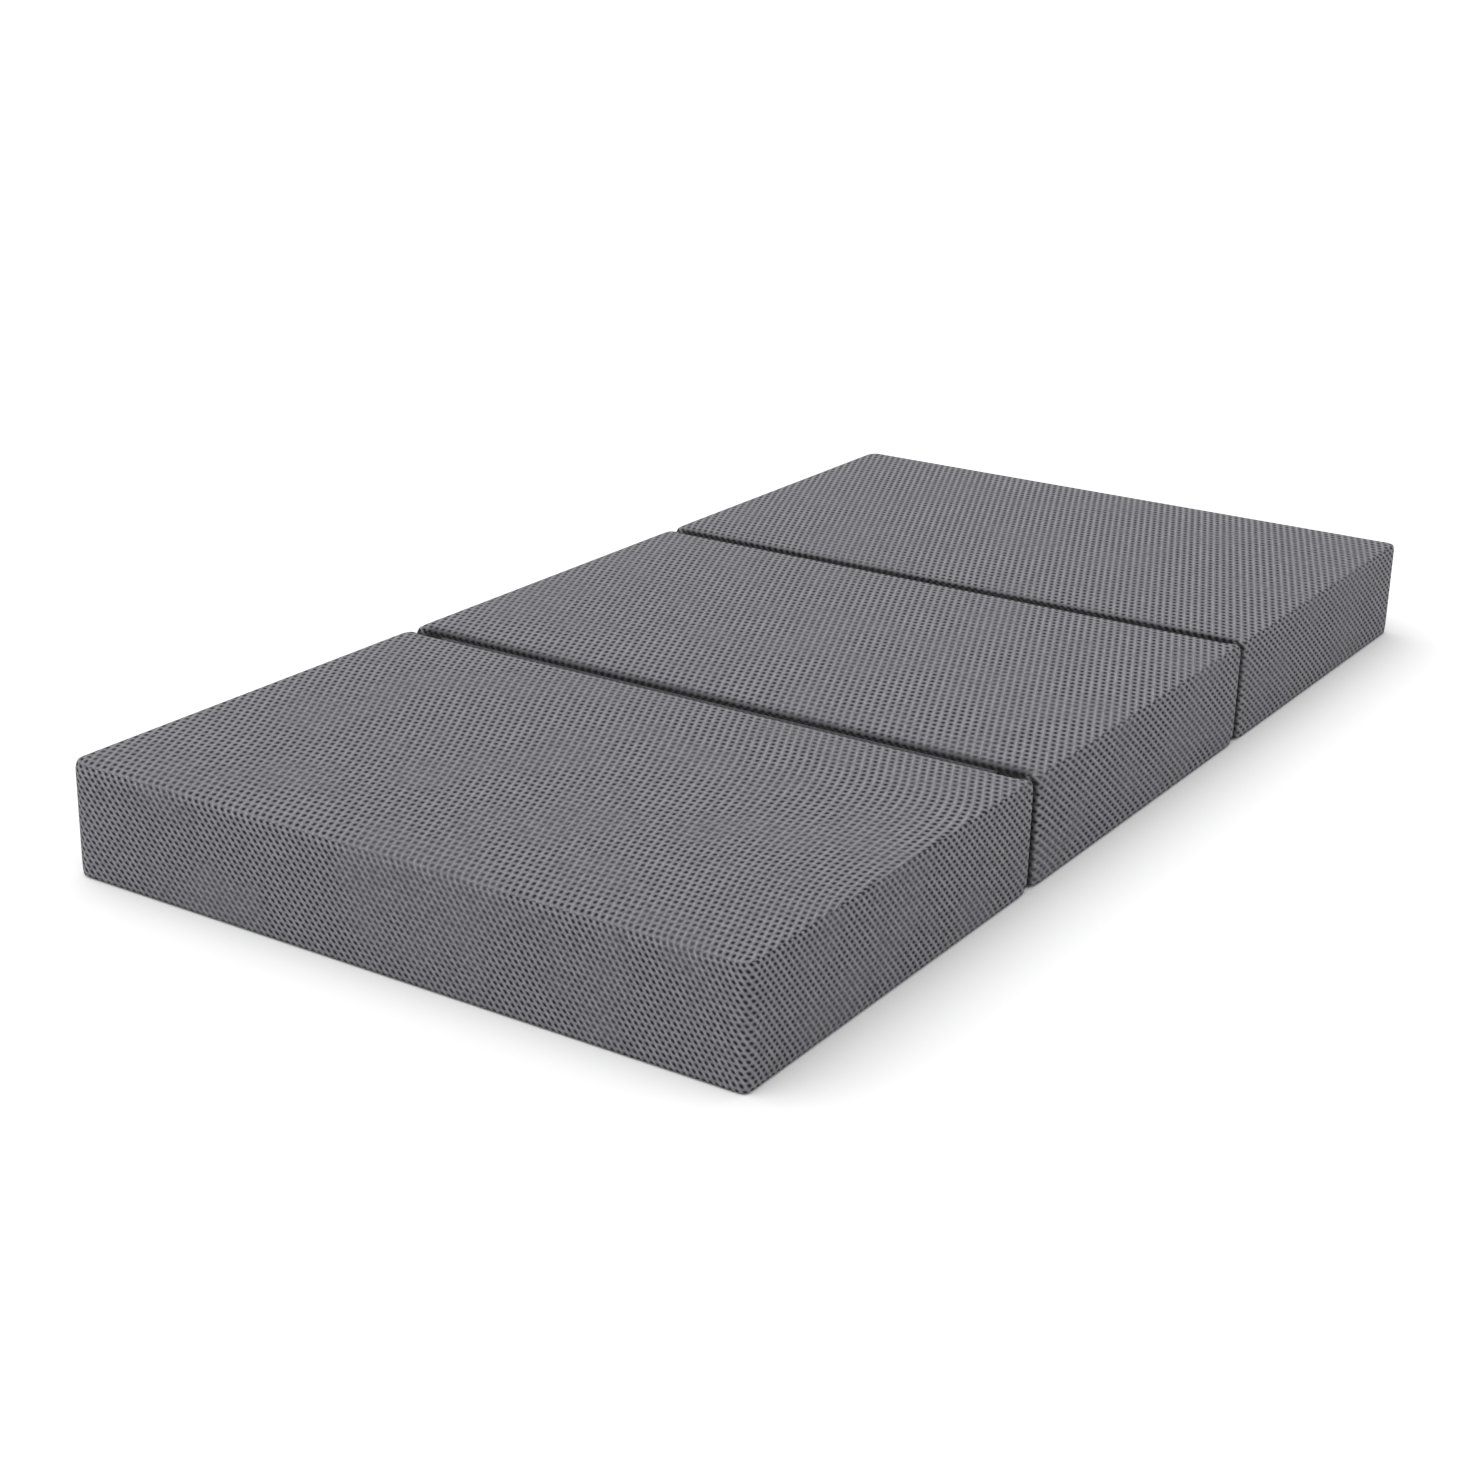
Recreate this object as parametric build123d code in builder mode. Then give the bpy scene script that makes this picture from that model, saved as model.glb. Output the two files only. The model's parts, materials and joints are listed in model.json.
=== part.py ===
from build123d import *
import os
from math import cos, radians, sqrt

# A tri-fold foam floor mattress: three padded panels in a row, joined edge to edge by two
# fabric hinge webs so that it folds into a flat stack, the foot panel over the middle one and
# the head panel under it. Each panel is a zipped cover round a lined, two-layer foam block.
#
# Frame: +X across the mattress, +Y from the foot panel to the head panel, +Z up.
# The origin is the centre of the underside of the middle panel, on the floor.

# ---------------------------------------------------------------- driving sizes (millimetres)
# The whole mattress
mattress_width = 965.0
mattress_length = 1905.0
mattress_height = 150.0
seam_gap = 3.0

# Outside roundings of a panel
corner_radius = 25.0
top_edge_radius = 18.0
base_edge_radius = 22.0

# Cover and liner
cover_thickness = 2.5
top_seam_drop = 6.0
base_seam_rise = 6.0
liner_thickness = 0.8
liner_end_depth = 60.0
layer_clearance = 0.5

# Foam
memory_foam_height = 50.0

# Zip in the left side of each cover
zip_height = 52.0
zip_end_margin = 45.0
zip_opening_height = 22.0
tape_bridge = 10.0
tape_thickness = 0.6
tape_set_back = 0.1
coil_width = 2.3
coil_thickness = 1.8
coil_slit = 1.2
top_stop_length = 3.0
bottom_stop_length = 4.0
stop_thickness = 2.0

# Zip slider and pull
slider_clearance = 0.3
slider_length = 11.0
slider_width = 9.0
slider_corner = 2.0
slider_plate = 1.0
slider_flange = 1.0
slider_flange_length = 8.0
slider_post_length = 8.0
slider_post_thickness = 0.6
bridge_length = 7.6
bridge_width = 2.2
bridge_bar = 1.0
bridge_leg = 1.2
bridge_window = 2.0
bridge_rounding = 1.4
pull_pin_diameter = 1.4
pull_thickness = 1.2
pull_arm_width = 1.4
pull_arm_gap = 0.4
pull_neck = 4.6
pull_length = 26.0
pull_width = 7.0
pull_rounding = 2.6
pull_hole_length = 7.0
pull_hole_width = 3.0
pull_hole_from_end = 6.5

# Fabric hinge webs between the panels
web_thickness = 1.0
web_angle = 45.0
web_slack = 2.5
web_end_margin = 30.0
web_clearance = 0.3
hinge_clearance = 0.3

# Blank care label sewn under the foot panel's zip
label_width = 38.0
label_length = 30.0
label_thickness = 0.8
label_from_centre = 170.0

# ---------------------------------------------------------------- sizes that follow from them
panel_length = (mattress_length - 2 * seam_gap) / 3
panel_pitch = panel_length + seam_gap
panel_centres = {"foot": -panel_pitch, "middle": 0.0, "head": panel_pitch}

liner_side = cover_thickness + layer_clearance
liner_inside = liner_side + liner_thickness
foam_side = liner_inside + layer_clearance
foam_base = cover_thickness + liner_thickness
foam_top = mattress_height - foam_side
foam_joint = foam_top - memory_foam_height

zip_opening_length = panel_length - 2 * zip_end_margin
coil_channel_length = zip_opening_length - 2 * tape_bridge
coil_channel_width = 2 * coil_width + coil_slit
coil_length = coil_channel_length - top_stop_length - bottom_stop_length
coil_start = -coil_channel_length / 2 + top_stop_length
coil_offset = (coil_slit + coil_width) / 2
slider_closed = coil_start + slider_clearance + slider_length / 2
slider_travel = coil_length - slider_length - 2 * slider_clearance
plate_face = coil_thickness / 2 + slider_clearance
plate_top = plate_face + slider_plate
pull_pin_level = plate_top + bridge_window / 2
pull_eye_width = bridge_width + 2 * pull_arm_gap
pull_yoke_width = pull_eye_width + 2 * pull_arm_width

web_length = mattress_width - 2 * (corner_radius + web_end_margin)


# ---------------------------------------------------------------- shapes shared by the pieces
def rounded_block(side, base, top, centre_y):
    """A panel's outline, moved in by side, base and top, with its roundings kept concentric."""
    with BuildPart() as block:
        with BuildSketch(Plane(origin=(0, centre_y, base))):
            RectangleRounded(mattress_width - 2 * side, panel_length - 2 * side, corner_radius - side)
        extrude(amount=mattress_height - top - base)
        fillet(block.edges().group_by(Axis.Z)[-1], radius=top_edge_radius - side)
        fillet(block.edges().group_by(Axis.Z)[0], radius=base_edge_radius - side)
    return block.part


def hollow_block(outer, inner):
    """A closed shell between two rounded blocks."""
    with BuildPart() as shell:
        add(outer)
        add(inner, mode=Mode.SUBTRACT)
    return shell.part


def side_plane(centre_y, out=0.0, along=0.0):
    """A plane on the left side of a panel at the height of its zip.

    Its X runs along the zip the way the slider opens (-Y), its Y is up, and out is the
    distance from the side's outer face, away from the mattress.
    """
    origin = (-mattress_width / 2 - out, centre_y - along, zip_height)
    return Plane(origin=origin, x_dir=(0, -1, 0), z_dir=(-1, 0, 0))


def write(piece, name):
    """Name a finished piece and write its STEP file."""
    piece.part.label = name
    export_step(piece.part, f"parts/{name}.step")


# ---------------------------------------------------------------- cover
def make_cover(panel, centre_y):
    """Top, border and base fabrics, cut apart along the two seam lines."""
    outside = rounded_block(0, 0, 0, centre_y)
    inside = rounded_block(cover_thickness, cover_thickness, cover_thickness, centre_y)
    shell = hollow_block(outside, inside)
    top_seam = Plane.XY.offset(mattress_height - top_seam_drop)
    base_seam = Plane.XY.offset(base_seam_rise)

    with BuildPart() as cover_top:
        add(shell)
        split(bisect_by=top_seam, keep=Keep.TOP)
    write(cover_top, f"{panel}_cover_top")

    with BuildPart() as cover_border:
        add(shell)
        split(bisect_by=top_seam, keep=Keep.BOTTOM)
        split(bisect_by=base_seam, keep=Keep.TOP)
        with BuildSketch(side_plane(centre_y)):
            Rectangle(zip_opening_length, zip_opening_height)
        extrude(amount=-cover_thickness - layer_clearance, mode=Mode.SUBTRACT)
    write(cover_border, f"{panel}_cover_border")

    with BuildPart() as cover_base:
        add(shell)
        split(bisect_by=base_seam, keep=Keep.BOTTOM)
    write(cover_base, f"{panel}_cover_base")


# ---------------------------------------------------------------- inner liner
def make_liner(panel, centre_y):
    """A knitted sleeve over the foam, with a sewn-on cap at each side of the mattress."""
    outside = rounded_block(liner_side, cover_thickness, liner_side, centre_y)
    inside = rounded_block(liner_inside, foam_base, liner_inside, centre_y)
    shell = hollow_block(outside, inside)
    cap_seam = mattress_width / 2 - liner_side - liner_end_depth

    with BuildPart() as liner_sleeve:
        add(shell)
        split(bisect_by=Plane.YZ.offset(cap_seam), keep=Keep.BOTTOM)
        split(bisect_by=Plane.YZ.offset(-cap_seam), keep=Keep.TOP)
    write(liner_sleeve, f"{panel}_liner_sleeve")

    with BuildPart() as right_cap:
        add(shell)
        split(bisect_by=Plane.YZ.offset(cap_seam), keep=Keep.TOP)
    with BuildPart() as left_cap:
        add(shell)
        split(bisect_by=Plane.YZ.offset(-cap_seam), keep=Keep.BOTTOM)
    with BuildPart() as liner_ends:
        add(right_cap.part)
        add(left_cap.part)
    write(liner_ends, f"{panel}_liner_ends")


# ---------------------------------------------------------------- foam
def make_foam(panel, centre_y):
    """A memory foam layer glued on a firmer support core."""
    block = rounded_block(foam_side, foam_base, foam_side, centre_y)

    with BuildPart() as memory_foam:
        add(block)
        split(bisect_by=Plane.XY.offset(foam_joint), keep=Keep.TOP)
    write(memory_foam, f"{panel}_memory_foam")

    with BuildPart() as support_foam:
        add(block)
        split(bisect_by=Plane.XY.offset(foam_joint), keep=Keep.BOTTOM)
    write(support_foam, f"{panel}_support_foam")


# ---------------------------------------------------------------- zip
def make_zip(panel, centre_y):
    """Tapes, the two closed coils, and the stops at their ends."""
    with BuildPart() as zip_tapes:
        with BuildSketch(side_plane(centre_y, out=-tape_set_back)):
            Rectangle(zip_opening_length, zip_opening_height)
            Rectangle(coil_channel_length, coil_channel_width, mode=Mode.SUBTRACT)
        extrude(amount=-tape_thickness)
    write(zip_tapes, f"{panel}_zip_tapes")

    coil_centre = coil_start + coil_length / 2
    with BuildPart() as zip_coils:
        with BuildSketch(side_plane(centre_y, out=-coil_thickness / 2, along=coil_centre)):
            with Locations((0, coil_offset), (0, -coil_offset)):
                Rectangle(coil_length, coil_width)
        extrude(amount=coil_thickness)
    write(zip_coils, f"{panel}_zip_coils")

    with BuildPart() as zip_stops:
        with BuildSketch(side_plane(centre_y, out=-coil_thickness / 2)):
            with Locations((coil_start, coil_offset), (coil_start, -coil_offset)):
                Rectangle(top_stop_length, coil_width, align=(Align.MAX, Align.CENTER))
            with Locations((coil_start + coil_length, 0)):
                Rectangle(bottom_stop_length, coil_channel_width, align=(Align.MIN, Align.CENTER))
        extrude(amount=stop_thickness)
    write(zip_stops, f"{panel}_zip_stops")


def make_slider(panel, centre_y):
    """Two plates joined by a post in the slit between the coils, with a bridge for the pull."""
    with BuildPart() as zip_slider:
        with BuildSketch(side_plane(centre_y, out=plate_face, along=slider_closed)):
            RectangleRounded(slider_length, slider_width, slider_corner)
        extrude(amount=slider_plate)
        with BuildSketch(side_plane(centre_y, out=-plate_face, along=slider_closed)):
            RectangleRounded(slider_length, slider_width, slider_corner)
        extrude(amount=-slider_plate)
        with BuildSketch(side_plane(centre_y, out=-plate_face, along=slider_closed)):
            Rectangle(slider_post_length, slider_post_thickness)
        extrude(amount=2 * plate_face)
        flange_offset = (slider_width - slider_flange) / 2
        flange_depth = plate_face + tape_set_back - slider_clearance
        with BuildSketch(side_plane(centre_y, out=plate_face, along=slider_closed)):
            with Locations((0, flange_offset), (0, -flange_offset)):
                Rectangle(slider_flange_length, slider_flange)
        extrude(amount=-flange_depth)
        bridge_plane = Plane(
            origin=(-mattress_width / 2 - plate_top, centre_y - slider_closed, zip_height),
            x_dir=(0, -1, 0),
            z_dir=(0, 0, -1),
        )
        with BuildSketch(bridge_plane) as bridge:
            bridge_height = bridge_window + bridge_bar
            Rectangle(bridge_length, bridge_height, align=(Align.CENTER, Align.MIN))
            fillet(bridge.vertices().group_by(Axis.Y)[-1], radius=bridge_rounding)
            window_length = bridge_length - 2 * bridge_leg
            with Locations((0, bridge_window / 2)):
                Rectangle(window_length, bridge_window, mode=Mode.SUBTRACT)
        extrude(amount=bridge_width / 2, both=True)
    write(zip_slider, f"{panel}_zip_slider")


def make_pull(panel, centre_y):
    """A flat tab on two arms, with a pin that turns in the slider's bridge."""
    with BuildPart() as zip_pull:
        with BuildSketch(side_plane(centre_y, out=pull_pin_level - pull_thickness / 2, along=slider_closed)):
            with Locations((pull_neck, 0)):
                RectangleRounded(
                    pull_length - pull_neck, pull_width, pull_rounding, align=(Align.MIN, Align.CENTER)
                )
            Rectangle(pull_neck + pull_rounding, pull_yoke_width, align=(Align.MIN, Align.CENTER))
            Rectangle(2 * pull_neck, pull_eye_width, mode=Mode.SUBTRACT)
            with Locations((pull_length - pull_hole_from_end, 0)):
                SlotOverall(pull_hole_length, pull_hole_width, mode=Mode.SUBTRACT)
        extrude(amount=pull_thickness)
        pin_origin = (-mattress_width / 2 - pull_pin_level, centre_y - slider_closed, zip_height)
        with BuildSketch(Plane(origin=pin_origin)):
            Circle(pull_pin_diameter / 2)
        extrude(amount=pull_yoke_width / 2, both=True)
    write(zip_pull, f"{panel}_zip_pull")


# ---------------------------------------------------------------- hinge webs and care label
def groove_half_width(depth, edge_radius):
    """Half the free width between two rounded panel edges at a depth below their faces."""
    return seam_gap / 2 + edge_radius - sqrt(edge_radius**2 - (edge_radius - depth) ** 2)


def make_web(name, seam_y, face_level, edge_radius, inward):
    """A slack strip of fabric across the groove between two panels' edges.

    inward is -1 where the groove opens upwards and 1 where it opens downwards.
    """
    near_face = edge_radius * (1 - cos(radians(web_angle)))
    near_side = near_face + web_thickness
    half_span = groove_half_width(near_side, edge_radius) - web_clearance
    profile_plane = Plane(origin=(-web_length / 2, seam_y, face_level), x_dir=(0, 1, 0), z_dir=(1, 0, 0))
    with BuildPart() as web:
        with BuildSketch(profile_plane):
            with BuildLine():
                faces = []
                for depth in (near_face, near_side):
                    start = (-half_span, inward * depth)
                    middle = (0, inward * (depth + web_slack))
                    end = (half_span, inward * depth)
                    faces.append(ThreePointArc(start, middle, end))
                Line(faces[0] @ 0, faces[1] @ 0)
                Line(faces[0] @ 1, faces[1] @ 1)
            make_face()
        extrude(amount=web_length)
    write(web, name)


def make_label(centre_y):
    """A blank care label, sewn in along the lower edge of the zip opening."""
    with BuildPart() as care_label:
        with BuildSketch(side_plane(centre_y, along=label_from_centre)):
            with Locations((0, -zip_opening_height / 2)):
                Rectangle(label_width, label_length, align=(Align.CENTER, Align.MAX))
        extrude(amount=label_thickness)
    write(care_label, "foot_care_label")


# ---------------------------------------------------------------- the whole mattress
os.makedirs("parts", exist_ok=True)

for panel, centre_y in panel_centres.items():
    make_cover(panel, centre_y)
    make_liner(panel, centre_y)
    make_foam(panel, centre_y)
    make_zip(panel, centre_y)
    make_slider(panel, centre_y)
    make_pull(panel, centre_y)

make_web("foot_hinge_web", -panel_pitch / 2, mattress_height, top_edge_radius, -1)
make_web("head_hinge_web", panel_pitch / 2, 0, base_edge_radius, 1)
make_label(panel_centres["foot"])

print("foot fold axis: y", -panel_pitch / 2, "z", mattress_height + hinge_clearance)
print("head fold axis: y", panel_pitch / 2, "z", -hinge_clearance)
print("zip slider travel:", slider_travel, "closed at", slider_closed, "along the zip")
print("zip pull pin: x", -mattress_width / 2 - pull_pin_level, "z", zip_height)
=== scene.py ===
import json
from math import atan2, cos, exp, log, pi, radians, sin, sqrt, tanh

import bmesh
import bpy
from bpy.props import FloatProperty, FloatVectorProperty, PointerProperty
from mathutils import Matrix, Vector, noise


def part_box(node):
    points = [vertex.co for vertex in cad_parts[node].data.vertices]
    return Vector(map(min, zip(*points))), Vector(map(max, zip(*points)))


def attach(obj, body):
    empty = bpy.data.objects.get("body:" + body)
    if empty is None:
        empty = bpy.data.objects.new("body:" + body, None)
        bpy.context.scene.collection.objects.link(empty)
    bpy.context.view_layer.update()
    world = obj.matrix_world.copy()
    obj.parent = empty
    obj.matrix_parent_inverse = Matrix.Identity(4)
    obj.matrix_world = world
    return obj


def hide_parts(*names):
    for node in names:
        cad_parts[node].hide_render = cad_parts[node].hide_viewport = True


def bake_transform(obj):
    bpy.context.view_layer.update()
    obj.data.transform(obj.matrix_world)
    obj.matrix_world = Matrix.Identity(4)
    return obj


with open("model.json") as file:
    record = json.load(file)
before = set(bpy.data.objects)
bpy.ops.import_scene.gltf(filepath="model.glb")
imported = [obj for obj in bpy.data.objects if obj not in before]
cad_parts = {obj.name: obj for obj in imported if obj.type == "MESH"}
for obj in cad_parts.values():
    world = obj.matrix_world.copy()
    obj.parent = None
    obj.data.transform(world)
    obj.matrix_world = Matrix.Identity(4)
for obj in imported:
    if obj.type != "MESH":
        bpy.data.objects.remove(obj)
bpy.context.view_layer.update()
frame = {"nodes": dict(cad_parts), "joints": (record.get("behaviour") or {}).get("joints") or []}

bl_info = {
    "name": "Tri-fold foam mattress",
    "version": (1, 0, 0),
    "blender": (4, 5, 0),
    "location": "3D View > Sidebar > Mattress",
    "description": "Builds the covers, foam, zips and hinges of a folding foam mattress",
    "category": "Add Mesh",
}

MM = 0.001
PANELS = ("foot", "middle", "head")
TOP, BORDER, BASE, ZIP_OPENING = range(4)

# Roundings of a panel, as its frame has them
CORNER_RADIUS = 25 * MM
TOP_RADIUS = 18 * MM
BASE_RADIUS = 22 * MM
LINER_CORNER_RADIUS = 20 * MM

# How square the roundings look: 2 is a circle's quarter, and more is a tighter edge
LONG_SIDE_EDGE, END_EDGE, FOLD_EDGE, GROUND_EDGE = 5.0, 2.5, 2.0, 5.0
CORNER_PLAN, FOLD_CORNER_PLAN = 2.2, 6.0
TIGHT_PLAN_AT_FLOOR, TIGHT_PLAN_AT_TOP = 7.0, 2.6

# How much painted shade darkens the fabric in a fold between panels, where shadow falls. On a panel's side
# towards the
# foot: over its rounding from the seam up, down the wall below it, and across the upright corners. On its
# other side: less
FOOT_FOLD_PAINTED_SHADES = (0.90, 0.70, 0.54, 0.38, 0.20)
HEAD_FOLD_PAINTED_SHADES = (0.82, 0.50, 0.30, 0.16, 0.05)
WALL_PAINTED_SHADES = (0.90, 0.70, 0.40, 0.15)
CORNER_PAINTED_SHADES = (0.55, 0.92, 0.50, 0.20)
FAR_SIDE_PAINTED_SHADES = (0.60, 0.20)
FAR_WALL_PAINTED_SHADES = (0.50, 0.20)

# A web: how far up the panels' roundings and under their fabric it is sewn on, how far it sags
# from its circle in the middle, its lines from seam to seam, and its cells' size
WEB_TURN = radians(35)
TUCK = 1.2 * MM
WEB_RISE = 0.42
WEB_LINES = 24
WEB_CELL = (10.9 * MM, 26 * MM)

# How much the foot panel's cells grow for each metre, where its slack fabric begins and is full,
# how close its rows are, and how far the border's rows drift, in cells
FOOT_TAPER, FOOT_SIDE_TAPER = -0.0029, 0.0053
FOOT_SIDE_PITCH = 9.8 * MM
FOOT_SLACK = (0.42, 0.80)
FOOT_ROWS, FOOT_BORDER_ROWS = 0.9, 0.95
ROW_DRIFT = {"foot": 0.05, "middle": 0.084, "head": 0.137}

# Fine yarns side by side from one slanting rib of the mesh to the next
YARNS_PER_RIB = 7

# Grid lines of the skin: across half a rounding, and from a panel's side to its flat middle
HALF_ROUND = 3
MARGIN = 4
RING_STEP = radians(45) / HALF_ROUND

# Swelling: the simulation's frames, how far it would move the cloth, the move that counts as most
# of the way to the cloth's limit, and how far from the zip it lies flat, swells and ripples freely
CLOTH_FRAMES = 20
HOLD_REACH = 6 * MM
ZIP_FLAT, ZIP_FREE, ZIP_RIPPLED = 12 * MM, 35 * MM, 60 * MM
FLOOR_LEVEL = 0.6 * MM

# Thicknesses, and gaps from the skin inwards: at the sides and top, and at the base
FABRIC, LINER, TAPE, LABEL, WEB = 2.5 * MM, 0.8 * MM, 0.6 * MM, 0.35 * MM, 0.9 * MM
LINER_GAPS = (3.0 * MM, 2.6 * MM)
FOAM_GAPS = (4.3 * MM, 3.5 * MM)

# Grip dots: how far in from the sides they begin, their height, and their widths
DOT_MARGIN, DOT_HEIGHT = 34 * MM, 0.6 * MM
DOT_RADII = (1.9 * MM, 3.0 * MM)

# The zip's facing: its width and how far it stands out, and its stitches
FACING_WIDTH, FACING_RISE = 5 * MM, 0.9 * MM
FACING_LINES = (0.0, 0.5 * MM, 1.2 * MM, 3.8 * MM, 4.6 * MM, FACING_WIDTH)
STITCH_SIZE = (0.45 * MM, 3.0 * MM, 0.6 * MM)
STITCH_STEP, STITCH_LINE = 4.0 * MM, 2.5 * MM

# Teeth: from the coil's end to the first one, their width, and where they begin beside the middle
TOOTH_END, TOOTH_WIDTH, TOOTH_INNER = 0.8 * MM, 1.25 * MM, 0.36 * MM

# How much of the label is hidden under the facing
LABEL_TUCK = 2.4 * MM

CAMERA_PLACE = (1.6885, -2.8765, 1.237)
CAMERA_AZIMUTH, CAMERA_DROP, CAMERA_ROLL = radians(32.6), radians(20.4), radians(1.34)


# ---- settings
def length(name, description, default_mm):
    return FloatProperty(
        name=name, description=description, default=default_mm * MM,
        subtype="DISTANCE", unit="LENGTH", precision=4,
    )


def strength(name, description, default):
    return FloatProperty(name=name, description=description, default=default, min=0.0)


def colour(name, description, default):
    return FloatVectorProperty(
        name=name, description=description, default=default, subtype="COLOR", size=3, min=0.0, max=1.0
    )


class MattressCoverSettings(bpy.types.PropertyGroup):
    rib_colour: colour("Rib colour", "Colour of the cover's raised ribs", (0.1680, 0.1650, 0.1800))
    hole_colour: colour("Hole colour", "Colour deep in the cover's holes", (0.0145, 0.0140, 0.0160))
    grip_colour: colour("Underside colour", "Colour of the non-slip underside", (0.078, 0.079, 0.085))
    crown: length("Crown", "How far the top rises from its seam to its middle", 2.5)
    side_swell: length("Side swell", "How far the sides swell out between their seams", 2.0)
    seam_side_swell: length("Swell at the folds", "How far the sides next to another panel swell out", 1.1)
    hole_pitch: length("Hole pitch", "Distance between the top's holes, across the mattress", 10.9)
    hole_rows: length("Row spacing", "Distance between the top's rows of holes", 13.0)
    end_pitch: length("End hole pitch", "Distance between holes on the end borders", 10.7)
    side_pitch: length("Side hole pitch", "Distance between holes on the side borders", 15.5)
    border_rows: length("Border row spacing", "Distance between the border's rows of holes", 7.0)
    corner_pitch: length(
        "Corner hole pitch", "The foot panel's hole pitch halfway across, where its fabric is slack", 9.6
    )
    dot_pitch: length("Grip dot pitch", "Distance between the underside's grip dots", 20.0)


class MattressFoamSettings(bpy.types.PropertyGroup):
    memory_colour: colour("Memory foam colour", "Colour of the memory foam layer", (0.78, 0.80, 0.80))
    support_colour: colour("Support foam colour", "Colour of the support core", (0.82, 0.76, 0.60))
    liner_colour: colour("Liner colour", "Colour of the knitted liner", (0.80, 0.79, 0.76))


class MattressZipSettings(bpy.types.PropertyGroup):
    tape_colour: colour("Tape colour", "Colour of the woven zip tape", (0.050, 0.050, 0.055))
    metal_colour: colour("Metal colour", "Colour of the sliders, pulls and stops", (0.34, 0.34, 0.36))
    tooth_pitch: length("Tooth pitch", "Distance between a coil's teeth", 2.0)


class MattressStageSettings(bpy.types.PropertyGroup):
    floor_colour: colour("Floor colour", "Colour of the studio floor", (0.78, 0.78, 0.78))
    key_strength: strength("Key strength", "Strength of the soft light from above", 1.75)
    fill_strength: strength("Fill strength", "Strength of the light from all round", 1.0)


# ---- small tools
def smoothstep(low, high, value):
    t = min(max((value - low) / (high - low), 0.0), 1.0)
    return t * t * (3 - 2 * t)


def quarter(turn, squareness):
    """The cosine and sine of a place on a rounding that may be squarer than a circle's quarter."""
    out, up = max(cos(turn), 0.0), max(sin(turn), 0.0)
    reach = (out**squareness + up**squareness) ** (-1 / squareness)
    return reach * out, reach * up


def cells_along(distance, pitch, taper):
    """How many cells fit in a distance when their pitch grows by taper for each metre."""
    return log(1 + taper * distance / pitch) / taper if taper else distance / pitch


def even_lines(*stops_and_steps):
    """Grid lines through every stop, with about the step given between each stop and the next."""
    stops, steps = stops_and_steps[::2], stops_and_steps[1::2]
    lines = [stops[0]]
    for start, end, step in zip(stops, stops[1:], steps):
        count = max(1, round((end - start) / step))
        lines += [start + (end - start) * n / count for n in range(1, count + 1)]
    return lines


def dimmed(shade, share):
    return tuple(part * share for part in shade)


def make_piece(name, bm, material):
    """A new object at the origin from a finished bmesh."""
    mesh = bpy.data.meshes.new(name)
    bm.to_mesh(mesh)
    bm.free()
    mesh.materials.append(material)
    for polygon in mesh.polygons:
        polygon.use_smooth = True
    piece = bpy.data.objects.new(name, mesh)
    bpy.context.scene.collection.objects.link(piece)
    return piece


def settle(piece, body, slot, *nodes):
    """Make a piece ride on its body and stand for its CAD nodes; its slot is not used."""
    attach(piece, body)
    if nodes:
        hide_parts(*nodes)


def subdivided(piece):
    modifier = piece.modifiers.new("Subdivision", "SUBSURF")
    modifier.levels = modifier.render_levels = 1


def thickened(piece, thickness):
    """Give a sheet its thickness, inwards from the face that shows."""
    modifier = piece.modifiers.new("Thickness", "SOLIDIFY")
    modifier.thickness = thickness
    modifier.offset = -1.0


def repeated(piece, name, count, step):
    modifier = piece.modifiers.new(name, "ARRAY")
    modifier.count = count
    modifier.use_relative_offset = False
    modifier.use_constant_offset = True
    modifier.constant_offset_displace = step


def softened(bm, edges, width, segments=1, **settings):
    bmesh.ops.bevel(
        bm, geom=edges, offset=width, segments=segments, profile=0.5, affect="EDGES", material=-1, **settings
    )


def add_block(bm, middle, size):
    place = Matrix.Translation(middle) @ Matrix.Diagonal((*size, 1))
    bmesh.ops.create_cube(bm, size=1.0, matrix=place)


def faced(bm, *outwards):
    """Turn a sheet's faces over if they look the wrong way."""
    if sum(f.normal.dot(Vector(outwards)) * f.calc_area() for f in bm.faces) < 0:
        bmesh.ops.reverse_faces(bm, faces=bm.faces[:])


def cloth_grid(across, along, place, keep=None):
    """A flat grid with the given lines, each vertex put where place(across, along) says."""
    bm = bmesh.new()
    columns, rows = len(across) - 1, len(along) - 1
    bmesh.ops.create_grid(bm, x_segments=columns, y_segments=rows, size=0.5)
    uv = bm.loops.layers.uv.new("Weave")
    spots = {}
    for vert in bm.verts:
        spots[vert] = (across[round((vert.co.x + 0.5) * columns)], along[round((vert.co.y + 0.5) * rows)])
    if keep:
        lost = []
        for face in bm.faces:
            middle = [sum(spots[v][n] for v in face.verts) / len(face.verts) for n in range(2)]
            if not keep(*middle):
                lost.append(face)
        bmesh.ops.delete(bm, geom=lost, context="FACES")
    for face in bm.faces:
        for loop in face.loops:
            loop[uv].uv = spots[loop.vert]
    for vert in bm.verts:
        vert.co = place(*spots[vert])
    bmesh.ops.recalc_face_normals(bm, faces=bm.faces[:])
    return bm


# ---- shader tools
def feed(tree, socket, value):
    if isinstance(value, bpy.types.NodeSocket):
        tree.links.new(value, socket)
    elif value is not None:
        socket.default_value = value


def add(tree, kind, inputs=None, **settings):
    """A new node with its settings and its named or numbered inputs."""
    made = tree.nodes.new(kind)
    for key, value in settings.items():
        setattr(made, key, value)
    for key, value in (inputs or {}).items():
        feed(tree, made.inputs[key], value)
    return made


def calc(tree, operation, first, *others):
    """One math node, or a chain of them when there are more than two values."""
    made = add(tree, "ShaderNodeMath", {0: first, 1: others[0] if others else None}, operation=operation)
    return calc(tree, operation, made.outputs[0], *others[1:]) if others[1:] else made.outputs[0]


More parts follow.
